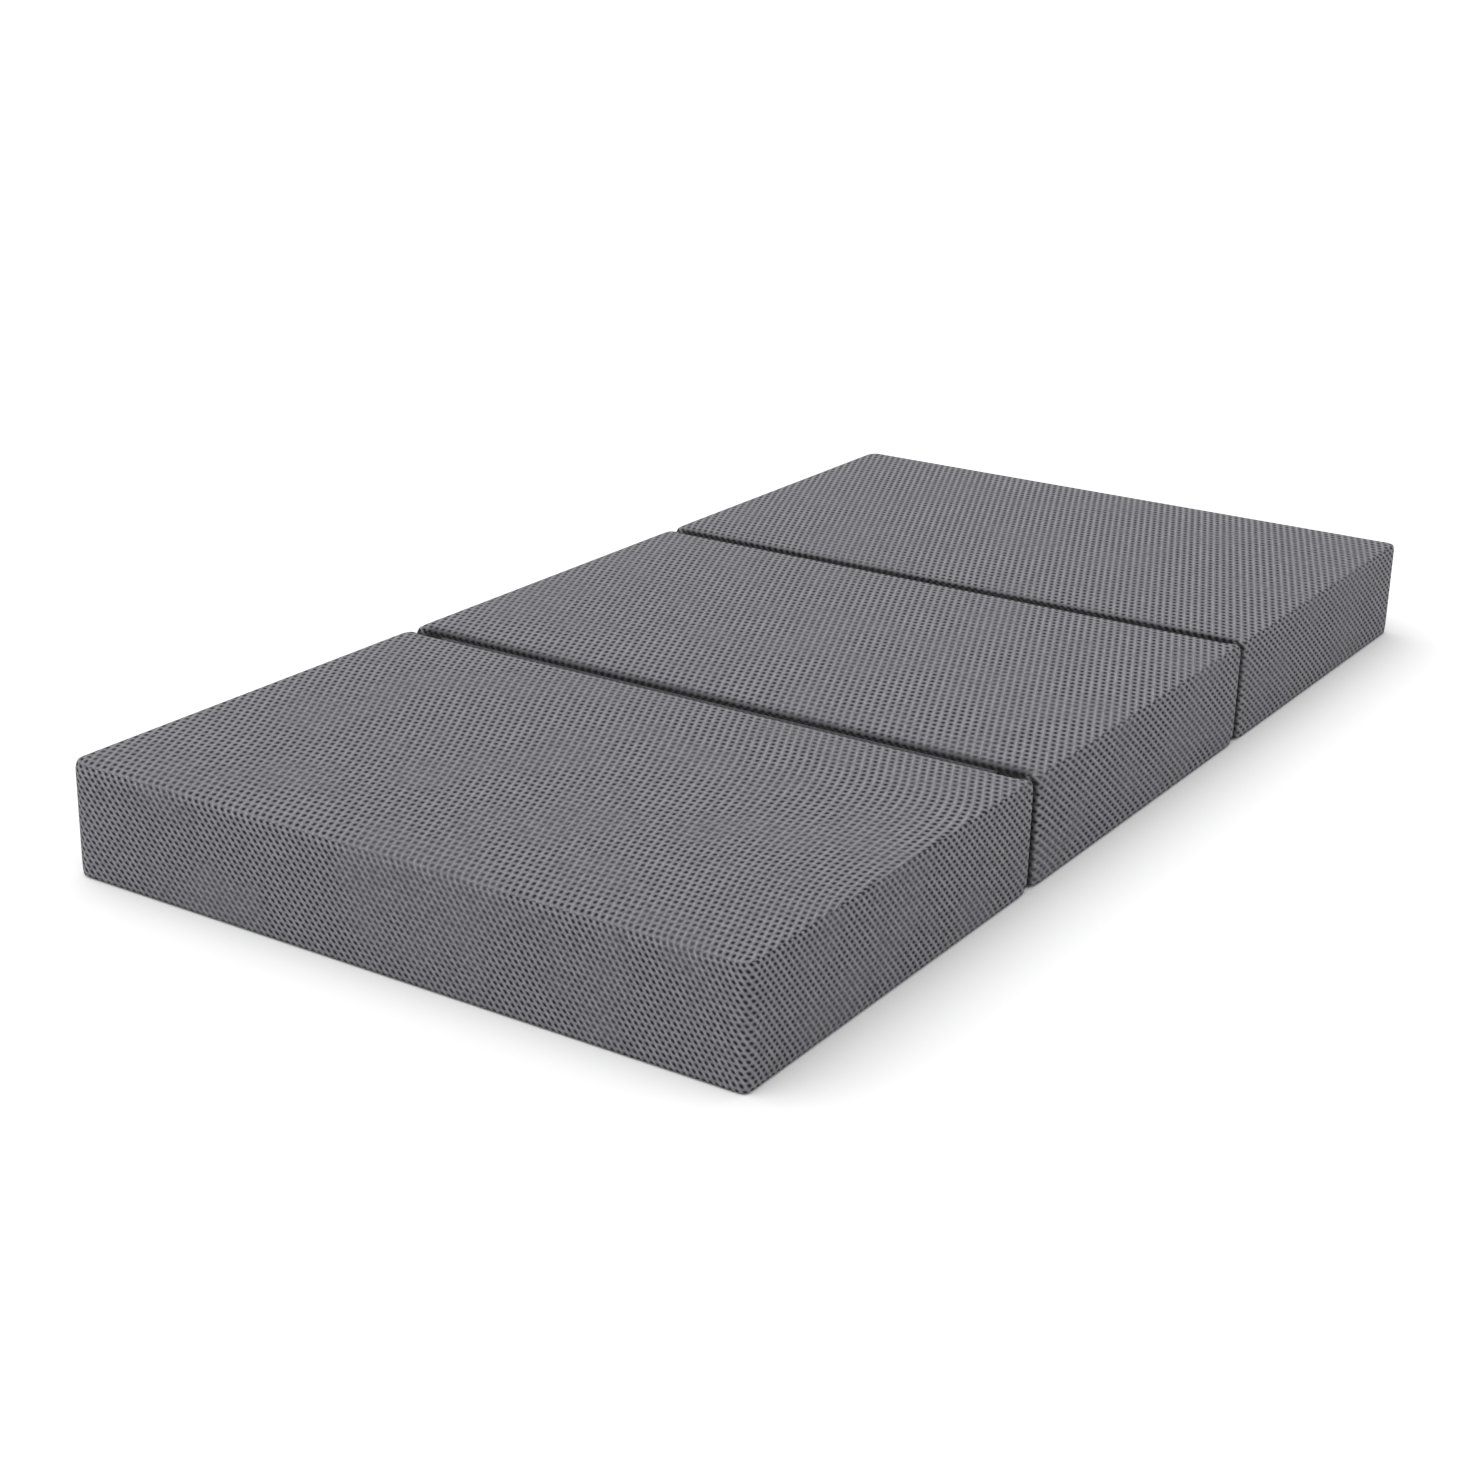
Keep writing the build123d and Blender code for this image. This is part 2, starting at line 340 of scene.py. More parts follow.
def ramp(tree, value, low, high, to_low=0.0, to_high=1.0):
    """value from low to high, as a smooth step from to_low to to_high."""
    made = add(
        tree,
        "ShaderNodeMapRange",
        {"Value": value, "From Min": low, "From Max": high, "To Min": to_low, "To Max": to_high},
        interpolation_type="SMOOTHSTEP",
    )
    return made.outputs["Result"]


def blend_colour(tree, factor, first, second, mode="MIX"):
    made = add(tree, "ShaderNodeMix", data_type="RGBA", blend_type=mode)
    for key, value in (("Factor_Float", factor), ("A_Color", first), ("B_Color", second)):
        socket = next(s for s in made.inputs if s.identifier == key)
        feed(tree, socket, value if isinstance(value, (float, bpy.types.NodeSocket)) else (*value, 1.0)[:4])
    return next(s for s in made.outputs if s.identifier == "Result_Color")


def group_tree(name, inputs, outputs):
    """A shader node group with its named sockets."""
    tree = bpy.data.node_groups.new(name, "ShaderNodeTree")
    for label, kind, value in inputs:
        socket = tree.interface.new_socket(name=label, in_out="INPUT", socket_type=kind)
        if value is not None:
            socket.default_value = value
    for label, kind in outputs:
        tree.interface.new_socket(name=label, in_out="OUTPUT", socket_type=kind)
    return tree, tree.nodes.new("NodeGroupInput"), tree.nodes.new("NodeGroupOutput")


def placed(tree, group, inputs):
    """A shader node group put into a material with its own values."""
    made = tree.nodes.new("ShaderNodeGroup")
    made.node_tree = group
    for key, value in inputs.items():
        feed(tree, made.inputs[key], value)
    return made


def air_mesh_group():
    """Staggered oval holes, one to a cell and one at its corners, with ribs that slant between them."""
    name = "Air mesh holes"
    if name in bpy.data.node_groups:
        return bpy.data.node_groups[name]
    tree, given, result = group_tree(
        name,
        (
            ("Cells", "NodeSocketVector", None),
            ("Hole width", "NodeSocketFloat", 0.22),
            ("Hole length", "NodeSocketFloat", 0.15),
            ("Lean", "NodeSocketFloat", 0.1),
        ),
        [(label, "NodeSocketFloat") for label in ("Hole", "Relief", "Rib", "Yarns")],
    )
    cell = add(tree, "ShaderNodeSeparateXYZ", {0: given.outputs["Cells"]})
    distances = []
    for shift in (0.0, 0.5):
        across, along = (
            calc(tree, "SUBTRACT", calc(tree, "FRACT", calc(tree, "ADD", cell.outputs[axis], shift)), 0.5)
            for axis in ("X", "Y")
        )
        across = calc(tree, "SUBTRACT", across, calc(tree, "MULTIPLY", along, given.outputs["Lean"]))
        across = calc(tree, "DIVIDE", across, given.outputs["Hole width"])
        along = calc(tree, "DIVIDE", along, given.outputs["Hole length"])
        squares = [calc(tree, "POWER", calc(tree, "ABSOLUTE", far), 2.0) for far in (across, along)]
        distances.append(calc(tree, "SQRT", calc(tree, "ADD", *squares)))
    nearest = calc(tree, "MINIMUM", *distances)
    feed(tree, result.inputs["Hole"], ramp(tree, nearest, 0.45, 1.2, 1.0, 0.0))
    feed(tree, result.inputs["Relief"], ramp(tree, nearest, 0.2, 1.9))
    # the Rib mask of the slanting ribs feeds the bump and, in the mesh material, a painted highlight
    slant = calc(tree, "FRACT", calc(tree, "ADD", cell.outputs["X"], cell.outputs["Y"]))
    off_rib = calc(tree, "ABSOLUTE", calc(tree, "SUBTRACT", slant, 0.5))
    feed(tree, result.inputs["Rib"], ramp(tree, off_rib, 0.02, 0.2, 1.0, 0.0))
    yarn_turn = calc(tree, "MULTIPLY", slant, 2 * pi * YARNS_PER_RIB)
    feed(tree, result.inputs["Yarns"], calc(tree, "SINE", yarn_turn))
    return tree


def yarn_group():
    """Fine knitted yarn and a slow drift of shade, from object coordinates."""
    name = "Yarn and shade"
    if name in bpy.data.node_groups:
        return bpy.data.node_groups[name]
    tree, given, result = group_tree(
        name,
        (
            ("Place", "NodeSocketVector", None),
            ("Yarn scale", "NodeSocketFloat", 900.0),
            ("Shade scale", "NodeSocketFloat", 6.0),
        ),
        (("Yarn", "NodeSocketFloat"), ("Shade", "NodeSocketFloat")),
    )
    for label, scale, detail in (("Yarn", "Yarn scale", 2.0), ("Shade", "Shade scale", 3.0)):
        cloud = add(tree, "ShaderNodeTexNoise",
                    {"Vector": given.outputs["Place"], "Scale": given.outputs[scale], "Detail": detail})
        feed(tree, result.inputs[label], cloud.outputs[0])
    return tree


def new_material(name, roughness=0.9, sheen=0.0, **constants):
    """A material with a Principled shader, and its object coordinates and yarn ready to use."""
    material = bpy.data.materials.new(name)
    material.use_nodes = True
    tree = material.node_tree
    shader = tree.nodes["Principled BSDF"]
    shader.inputs["Roughness"].default_value = roughness
    shader.inputs["Sheen Weight"].default_value = sheen
    for key, value in constants.items():
        shader.inputs[key.replace("_", " ")].default_value = value
    place = tree.nodes.new("ShaderNodeTexCoord").outputs["Object"]
    return material, tree, shader, place


def bumped(tree, shader, height, distance, strength=1.0):
    bump = add(tree, "ShaderNodeBump", {"Height": height, "Distance": distance, "Strength": strength})
    tree.links.new(bump.outputs["Normal"], shader.inputs["Normal"])


def mesh_cloth(name, hole_width, hole_length, lean, shade=1.0):
    """Air mesh with its holes laid out by the Weave map, in cells; painted shade darkens it in the folds,
    painted highlights lighten its crests and ribs, and shade scales its colour as painted light.
    """
    if name in bpy.data.materials:
        return bpy.data.materials[name]
    look = bpy.context.scene.mattress_cover
    material, tree, shader, place = new_material(
        name, 0.92, 0.02, Sheen_Roughness=0.5, Specular_IOR_Level=0.15
    )
    cells = add(tree, "ShaderNodeUVMap", uv_map="Weave").outputs["UV"]
    holes = placed(tree, air_mesh_group(),
                   {"Cells": cells, "Hole width": hole_width, "Hole length": hole_length, "Lean": lean})
    yarn = placed(tree, yarn_group(), {"Place": place, "Yarn scale": 1100.0, "Shade scale": 9.0})
    tufts = placed(tree, yarn_group(), {"Place": place, "Yarn scale": 190.0, "Shade scale": 40.0})
    slow = yarn.outputs["Shade"]
    depth = calc(tree, "MULTIPLY", holes.outputs["Hole"], ramp(tree, slow, 0.35, 0.55, 0.62, 1.0))
    colours = blend_colour(tree, depth, look.rib_colour, look.hole_colour)
    # painted highlight and shade: raised parts and the slanting ribs drawn lighter, the slopes into the holes
    # darker
    painted_crest_highlight = calc(tree, "ADD", ramp(tree, holes.outputs["Relief"], 0.2, 1.0, 0.76, 0.98),
                 calc(tree, "MULTIPLY", holes.outputs["Rib"], 0.26))
    # painted shade: the fold attribute darkens the fabric to as little as 0.08 of its colour in the grooves
    # between panels
    fold = add(tree, "ShaderNodeAttribute", attribute_name="Painted fold shade").outputs["Fac"]
    light = calc(
        tree, "MULTIPLY",
        ramp(tree, slow, 0.3, 0.7, 0.95 * shade, 1.05 * shade),
        ramp(tree, yarn.outputs["Yarn"], 0.25, 0.75, 0.93, 1.07),
        ramp(tree, tufts.outputs["Yarn"], 0.3, 0.7, 0.84, 1.16),
        ramp(tree, holes.outputs["Yarns"], -1.0, 1.0, 0.93, 1.07),
        painted_crest_highlight,
        ramp(tree, fold, 0.0, 1.0, 1.0, 0.08),
    )
    tint = add(tree, "ShaderNodeCombineColor", {0: light, 1: light, 2: light}).outputs[0]
    feed(tree, shader.inputs["Base Color"], blend_colour(tree, 1.0, colours, tint, "MULTIPLY"))
    raised = [
        calc(tree, "MULTIPLY", group.outputs[label], share)
        for group, label, share in ((yarn, "Yarn", 0.12), (holes, "Rib", 0.3), (holes, "Yarns", 0.04))
    ]
    bumped(tree, shader, calc(tree, "ADD", holes.outputs["Relief"], *raised), 1.6 * MM, 0.9)
    return material


def grained(name, base, deep, scale, bump_mm, roughness, sheen=0.0, stretch=(1.0, 1.0, 1.0), **constants):
    """A finish with two shades of one colour and a matching grain: foam cells, knit or cast metal."""
    if name in bpy.data.materials:
        return bpy.data.materials[name]
    material, tree, shader, place = new_material(name, roughness, sheen, **constants)
    turned = add(tree, "ShaderNodeMapping", {"Vector": place, "Scale": stretch}).outputs[0]
    yarn = placed(tree, yarn_group(), {"Place": turned, "Yarn scale": scale, "Shade scale": scale / 60})
    pores = add(tree, "ShaderNodeTexVoronoi", {"Vector": turned, "Scale": scale * 0.8}).outputs["Distance"]
    shade = ramp(tree, yarn.outputs["Shade"], 0.3, 0.7, 0.85, 1.0)
    factor = calc(tree, "MULTIPLY", ramp(tree, pores, 0.1, 0.6), shade)
    feed(tree, shader.inputs["Base Color"], blend_colour(tree, factor, deep, base))
    gloss = ramp(tree, yarn.outputs["Yarn"], 0.2, 0.8, roughness - 0.06, roughness + 0.04)
    feed(tree, shader.inputs["Roughness"], gloss)
    bumped(tree, shader, calc(tree, "ADD", pores, yarn.outputs["Yarn"]), bump_mm * MM, 0.6)
    return material


def ribbed(name, base, deep, rib_mm, angle, bump_mm, roughness=0.85, sheen=0.0):
    """Woven tape or knit with fine ribs across the Weave map, which is in metres."""
    if name in bpy.data.materials:
        return bpy.data.materials[name]
    material, tree, shader, place = new_material(name, roughness, sheen)
    cloth = add(tree, "ShaderNodeUVMap", uv_map="Weave").outputs["UV"]
    waves = []
    for turn in (angle, -angle):
        turned = add(tree, "ShaderNodeMapping", {"Vector": cloth, "Rotation": (0.0, 0.0, turn)}).outputs[0]
        wave = add(tree, "ShaderNodeTexWave", {"Vector": turned, "Scale": pi / (10 * rib_mm * MM)})
        waves.append(wave.outputs["Fac"])
    woven = calc(tree, "MULTIPLY", *waves)
    yarn = placed(tree, yarn_group(), {"Place": place, "Yarn scale": 1500.0, "Shade scale": 12.0})
    shade = ramp(tree, yarn.outputs["Shade"], 0.3, 0.7, 0.8, 1.0)
    factor = calc(tree, "MULTIPLY", ramp(tree, woven, 0.0, 0.7), shade)
    feed(tree, shader.inputs["Base Color"], blend_colour(tree, factor, deep, base))
    relief = calc(tree, "ADD", woven, calc(tree, "MULTIPLY", yarn.outputs["Yarn"], 0.3))
    bumped(tree, shader, relief, bump_mm * MM, 0.8)
    return material


def zip_metal():
    base = bpy.context.scene.mattress_zip.metal_colour
    return grained("Painted zip metal", base, dimmed(base, 0.7), 260.0, 0.03, 0.34, Metallic=1.0)


# ---- the panels' padded skin
class PanelGrid:
    """The grid of a panel's skin: a subdivided box whose lines are laid on the panel's rounded shape."""

    def __init__(self, panel):
        low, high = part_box(f"{panel}_cover_border")
        self.panel, self.roof = panel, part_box(f"{panel}_cover_top")[1].z
        self.joined = {-1: panel != "foot", 1: panel != "head"}
        self.centre = (low.y + high.y) / 2
        self.half = ((high.x - low.x) / 2, (high.y - low.y) / 2)
        core_x, core_y = (half - CORNER_RADIUS for half in self.half)
        cap_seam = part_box(f"{panel}_liner_sleeve")[1].x
        tape_low, tape_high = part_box(f"{panel}_zip_tapes")
        start, end, sill, lintel = self.opening = (
            tape_low.y - self.centre, tape_high.y - self.centre, tape_low.z, tape_high.z
        )
        step = 12 * MM
        self.lines = (
            even_lines(-core_x, step, -cap_seam, step, cap_seam, step, core_x),
            even_lines(-core_y, step, start, step, end, step, core_y),
            even_lines(BASE_RADIUS, 10 * MM, sill, 11 * MM, lintel, step, self.roof - TOP_RADIUS),
        )
        beyond = (MARGIN, MARGIN, HALF_ROUND)
        self.count = tuple(len(lines) - 1 + 2 * more for lines, more in zip(self.lines, beyond))

    def from_side(self, index, axis):
        """Lines between this one and the panel's nearer side, and which side that is."""
        count = self.count[axis]
        return (index, -1) if index < count / 2 else (count - index, 1)

    def profile(self, ring, level, edge, ground_edge):
        """How far in from the side, and how high, a point lies."""
        from_top, turned = self.count[2] - level, min(ring, HALF_ROUND)
        if min(level, from_top) >= HALF_ROUND:
            return 0.0, self.lines[2][level - HALF_ROUND]
        at_top = from_top < HALF_ROUND
        radius, squareness = (TOP_RADIUS, edge) if at_top else (BASE_RADIUS, ground_edge)
        out, up = quarter(RING_STEP * (HALF_ROUND - min(level, from_top) + turned), squareness)
        inset = CORNER_RADIUS if ring >= MARGIN else radius * (1 - out)
        return inset, self.roof - radius * (1 - up) if at_top else radius * (1 - up)

    def place(self, i, j, k):
        """Where a grid point lies on the panel's rounded shape."""
        (side_x, sign_x), (side_y, sign_y) = self.from_side(i, 0), self.from_side(j, 1)
        out_x, out_y = max(MARGIN - side_x, 0), max(MARGIN - side_y, 0)
        end_edge, end_ground = (FOLD_EDGE, FOLD_EDGE) if self.joined[sign_y] else (END_EDGE, GROUND_EDGE)
        round_corner = out_x and out_y
        turn = radians(90) if out_y else 0.0
        if round_corner:
            share = min(out_x, out_y) / max(out_x, out_y) * radians(45)
            turn = share if out_x >= out_y else radians(90) - share
        part = turn / radians(90)
        edge = LONG_SIDE_EDGE + (end_edge - LONG_SIDE_EDGE) * part
        ground_edge = GROUND_EDGE + (end_ground - GROUND_EDGE) * part
        inset, height = self.profile(MARGIN - max(out_x, out_y), k, edge, ground_edge)
        if round_corner:
            plan = FOLD_CORNER_PLAN if self.joined[sign_y] else CORNER_PLAN
            if self.panel == "foot" and sign_x > 0 > sign_y:
                loosened = TIGHT_PLAN_AT_TOP - TIGHT_PLAN_AT_FLOOR
                plan = TIGHT_PLAN_AT_FLOOR + loosened * height / self.roof
            along_x, along_y = quarter(turn, plan)
            reach = CORNER_RADIUS - inset
            x = sign_x * (self.half[0] - CORNER_RADIUS + reach * along_x)
            y = sign_y * (self.half[1] - CORNER_RADIUS + reach * along_y)
        else:
            x = sign_x * (self.half[0] - inset) if out_x else self.lines[0][i - MARGIN]
            y = sign_y * (self.half[1] - inset) if out_y else self.lines[1][j - MARGIN]
        return Vector((x, y + self.centre, height))

    def painted_fold_shade(self, i, j, k):
        """How much painted shade darkens a point down a fold between two panels, from 0 in the open to 1."""
        side, sign = self.from_side(j, 1)
        if not self.joined[sign]:
            return 0.0
        shades, wall_shades, corner_shades = FAR_SIDE_PAINTED_SHADES, FAR_WALL_PAINTED_SHADES, ()
        if sign < 0:
            shades = FOOT_FOLD_PAINTED_SHADES if self.panel == "middle" else HEAD_FOLD_PAINTED_SHADES
            wall_shades, corner_shades = WALL_PAINTED_SHADES, CORNER_PAINTED_SHADES
        beside = self.from_side(i, 0)[0]
        enclosed = min(beside / MARGIN, 1.0)
        down = self.count[2] - k
        if down == 0:
            return shades[side] * enclosed if side < len(shades) else 0.0
        if side:
            return 0.0
        wall = wall_shades[down - 1] * enclosed if down <= len(wall_shades) else 0.0
        return max(wall, corner_shades[beside] if beside < len(corner_shades) else 0.0)

    def flat_plan(self, index, axis, radius):
        """A line's place on the top or base fabric laid flat."""
        side, sign = self.from_side(index, axis)
        if side >= MARGIN:
            return self.lines[axis][index - MARGIN]
        return sign * (self.half[axis] - radius + radius * RING_STEP * (HALF_ROUND - side))

    def flat_round(self, index, axis):
        """A line's place along one side of the border laid flat, from 0 to 1."""
        side, sign = self.from_side(index, axis)
        bend = radians(45) * CORNER_RADIUS
        core = self.half[axis] - CORNER_RADIUS
        if side >= MARGIN:
            along = self.lines[axis][index - MARGIN]
        else:
            along = sign * (core + bend * (MARGIN - side) / MARGIN)
        return (along / (core + bend) + 1) / 2

    def side_length(self, axis):
        return 2 * (self.half[axis] - CORNER_RADIUS + radians(45) * CORNER_RADIUS)

    def flat_height(self, level):
        """A line's height on the border laid flat, from its base seam."""
        base_arc, top_arc = BASE_RADIUS * RING_STEP, TOP_RADIUS * RING_STEP
        if level < HALF_ROUND:
            return base_arc * level
        straight = self.lines[2][min(level - HALF_ROUND, len(self.lines[2]) - 1)] - BASE_RADIUS
        above = max(level - self.count[2] + HALF_ROUND, 0)
        return base_arc * HALF_ROUND + straight + top_arc * above

    def flat_size(self, zone):
        """The size of the top, border or base fabric laid flat."""
        if zone == BORDER:
            return 2 * (self.side_length(0) + self.side_length(1)), self.flat_height(self.count[2])
        radius = TOP_RADIUS if zone == TOP else BASE_RADIUS
        return tuple(2 * half - 2 * (radius - radius * radians(45)) for half in self.half)


def grid_index(grid, vert):
    return tuple(round((vert.co[axis] + 0.5) * grid.count[axis]) for axis in range(3))


def zone_of(grid, spots):
    """Which fabric a face belongs to, and for the border which side it is on."""
    for level, zone in ((grid.count[2], TOP), (0, BASE)):
        if all(s[2] == level for s in spots):
            return zone, None
    for axis in (1, 0):
        for index in (0, grid.count[axis]):
            if all(s[axis] == index for s in spots):
                return BORDER, (axis, index > 0)
    raise RuntimeError("a face of the skin is on no side of its panel")


def cloth_map(grid, zone, side, spot, cover):
    """A grid point's place on its flat fabric: in cells on the mesh, and in metres on the base."""
    i, j, k = spot
    foot = grid.panel == "foot"
    if zone == BASE:
        return grid.flat_plan(i, 0, BASE_RADIUS), grid.flat_plan(j, 1, BASE_RADIUS)
    if zone == TOP:
        across, along = grid.flat_plan(i, 0, TOP_RADIUS), grid.flat_plan(j, 1, TOP_RADIUS)
        even = across / cover.hole_pitch
        if not foot:
            return even, along / (2 * cover.hole_rows)
        slack = smoothstep(*FOOT_SLACK, -(along + grid.centre))
        eased = cells_along(across, cover.corner_pitch, FOOT_TAPER)
        return even + (eased - even) * slack, along / (2 * cover.hole_rows * FOOT_ROWS)

    def side_cells(index, axis_of_side):
        """Cells from the side's low corner to a line, and along the whole side."""
        girth = grid.side_length(axis_of_side)
        pitch, taper = (cover.end_pitch, cover.side_pitch)[axis_of_side], 0.0
        if foot:
            pitch = (cover.end_pitch, FOOT_SIDE_PITCH)[axis_of_side]
            taper = (FOOT_TAPER, FOOT_SIDE_TAPER)[axis_of_side]
        whole = cells_along(girth, pitch, taper)
        here = cells_along(girth * grid.flat_round(index, axis_of_side), pitch, taper)
        return here * round(whole) / whole, round(whole)

    cells_x, cells_y = side_cells(0, 0)[1], side_cells(0, 1)[1]
    axis, far = side
    along = side_cells((j, i)[axis], 1 - axis)[0]
    if axis == 1:
        along = 2 * cells_x + cells_y - along if far else along
    else:
        along = cells_x + along if far else -along
    row = grid.flat_height(k) / (cover.border_rows * (FOOT_BORDER_ROWS if foot else 1.0))
    return along + ROW_DRIFT[grid.panel] * row, row / 2


def held_back(cover, normal, near_neighbour):
    """How far the fabric can swell out where its face looks this way."""
    side = cover.seam_side_swell if near_neighbour else cover.side_swell
    level = sqrt(normal.x**2 + normal.y**2)
    return cover.crown * max(normal.z, 0.0) + side * level * (1 - max(normal.z, 0.0))


def blown_out(mesh, held):
    """How far cloth pressure moves each vertex out while its seams are held."""
    scene = bpy.context.scene
    puff = bpy.data.objects.new("puff", mesh.copy())
    scene.collection.objects.link(puff)
    puff.vertex_groups.new(name="held").add(held, 1.0, "REPLACE")
    cloth = puff.modifiers.new("Cloth", "CLOTH")
    for key, value in (
        ("quality", 5), ("mass", 0.3), ("bending_stiffness", 0.5), ("use_pressure", True),
        ("uniform_pressure_force", 4.0), ("vertex_group_mass", "held"),
    ):
        setattr(cloth.settings, key, value)
    cloth.settings.effector_weights.gravity = 0.0
    cloth.point_cache.frame_start, cloth.point_cache.frame_end = 1, CLOTH_FRAMES
    for step in range(CLOTH_FRAMES):
        scene.frame_set(step + 1)
    evaluated = puff.evaluated_get(bpy.context.evaluated_depsgraph_get())
    moved = [
        (after.co - before.co).dot(before.normal)
        for before, after in zip(mesh.vertices, evaluated.data.vertices)
    ]
    scratch = puff.data
    bpy.data.objects.remove(puff)
    bpy.data.meshes.remove(scratch)
    scene.frame_set(1)
    return moved


def laid_out_box(grid, cover):
    """A subdivided box on the panel's rounded shape, mapped as cloth, and its vertices' grid points."""
    bm = bmesh.new()
    bmesh.ops.create_cube(bm, size=1.0)
    for axis, count in enumerate(grid.count):
        long_edges = [e for e in bm.edges if abs(e.verts[0].co[axis] - e.verts[1].co[axis]) > 0.9]
        bmesh.ops.subdivide_edges(bm, edges=long_edges, cuts=count - 1, use_grid_fill=True)
    uv = bm.loops.layers.uv.new("Weave")
    shade = bm.verts.layers.float.new("Painted fold shade")
    spots = {vert: grid_index(grid, vert) for vert in bm.verts}
    for face in bm.faces:
        zone, side = zone_of(grid, [spots[v] for v in face.verts])
        for loop in face.loops:
            loop[uv].uv = cloth_map(grid, zone, side, spots[loop.vert], cover)
        face.material_index = zone
        face.smooth = True
    for vert, spot in spots.items():
        vert.co = grid.place(*spot)
        # painted shade for the grooves between panels, stored per vertex for the mesh material
        vert[shade] = grid.painted_fold_shade(*spot)
    bm.normal_update()
    return bm, spots


def from_opening(grid, point):
    """How far a point on the zip's wall lies outside the zip's opening."""
    start, end, sill, lintel = grid.opening
    along = point.y - grid.centre
    return max(start - along, along - end, sill - point.z, point.z - lintel)


def unevenness(point, seed):
    """How much of its swell the fabric loses in slow hollows and short creases."""
    slow = noise.noise(Vector((point.x * 5 + seed, point.y * 5, point.z * 5)))
    short = noise.noise(Vector((point.x * 22, point.y * 22 + seed, point.z * 9)))
    return 0.16 * max(slow, 0.0) + 0.10 * abs(short)


def panel_skin(panel):
    """The outer surface of a panel's cover: its rounded shape, swollen between its seams."""
    name = f"{panel}_skin"
    if name in bpy.data.meshes:
        return bpy.data.meshes[name]
    cover = bpy.context.scene.mattress_cover
    grid = PanelGrid(panel)
    bm, spots = laid_out_box(grid, cover)
    for face in bm.faces:
        if face.material_index == BORDER and face.normal.x < -0.9:
            if from_opening(grid, face.calc_center_median()) < 0:
                face.material_index = ZIP_OPENING

    bm.verts.ensure_lookup_table()
    bm.verts.index_update()
    normals, caps, held = [], [], []
    for vert in bm.verts:
        i, j, k = spots[vert]
        facing = vert.normal.copy()
        neighbour = abs(facing.y) > 0.5 and grid.joined[1 if facing.y > 0 else -1]
        normals.append(facing)
        caps.append(held_back(cover, facing, neighbour) if k else 0.0)
        on_rim = i in (0, grid.count[0]) or j in (0, grid.count[1])
        if k == 0 or (k == grid.count[2] and on_rim):
            held.append(vert.index)
        vert.co -= facing * caps[-1]
    mesh = bpy.data.meshes.new(name)
    bm.to_mesh(mesh)
    swell = blown_out(mesh, held)
    bm.free()

    seed = 7.3 * PANELS.index(panel)
    for vert, facing, cap, out in zip(mesh.vertices, normals, caps, swell):
        share, ripple = tanh(max(out, 0.0) / HOLD_REACH), 1.0
        if facing.x < -0.8:
            beside = max(from_opening(grid, vert.co), 0.0)
            share = max(share, 1 - smoothstep(ZIP_FLAT, ZIP_FREE, beside))
            ripple = smoothstep(ZIP_FLAT, ZIP_RIPPLED, beside)
        share -= ripple * unevenness(vert.co, seed) * share
        vert.co = vert.co + facing * cap * share
        vert.co.z = max(vert.co.z, FLOOR_LEVEL)
    mesh.update()
    return mesh


def skin_part(panel, wanted, gap=0.0, base_gap=0.0):
    """The skin's faces that wanted(face) keeps, moved in by a gap."""
    bm = bmesh.new()
    bm.from_mesh(panel_skin(panel))
    bm.normal_update()
    shifts = [v.normal * (gap - (gap - base_gap) * max(-v.normal.z, 0.0)) for v in bm.verts]
    for vert, shift in zip(bm.verts, shifts):
        vert.co -= shift
    bmesh.ops.delete(bm, geom=[face for face in bm.faces if not wanted(face)], context="FACES")
    for face in bm.faces:
        face.material_index = 0
    return bm


# ---- operators
class MATTRESS_OT_covers(bpy.types.Operator):
    """Build each panel's top, border and base fabrics"""

    bl_idname = "mattress.covers"
    bl_label = "Cover fabrics"

    def execute(self, context):
        cover = context.scene.mattress_cover
        # painted light: the top's copy is drawn at 0.935 and the border's at 1.04 of the mesh colour, to
        # balance how bright top and sides look
        top_cloth = mesh_cloth("Air mesh top", 0.285, 0.17, -0.6, 0.935)
        border_cloth = mesh_cloth("Air mesh border", 0.285, 0.20, -0.75, 1.04)
        grip = grained("Non-slip knit", cover.grip_colour, dimmed(cover.grip_colour, 0.55), 700.0, 0.3, 0.9)
        for panel in PANELS:
            grid = PanelGrid(panel)
            for part, zone, cloth, slot, foam in (
                ("top", TOP, top_cloth, "cover_mesh", "memory_foam_layer"),
                ("border", BORDER, border_cloth, "cover_mesh", "support_core"),
                ("base", BASE, grip, "grip_base", "support_core"),
            ):
                bm = skin_part(panel, lambda face, zone=zone: face.material_index == zone)
                piece = make_piece(f"{panel}_{part}_fabric", bm, cloth)
                subdivided(piece)
                thickened(piece, FABRIC)
                settle(piece, f"{panel}_panel", slot, f"{panel}_cover_{part}")
                grid.flat_size(zone)
        return {"FINISHED"}


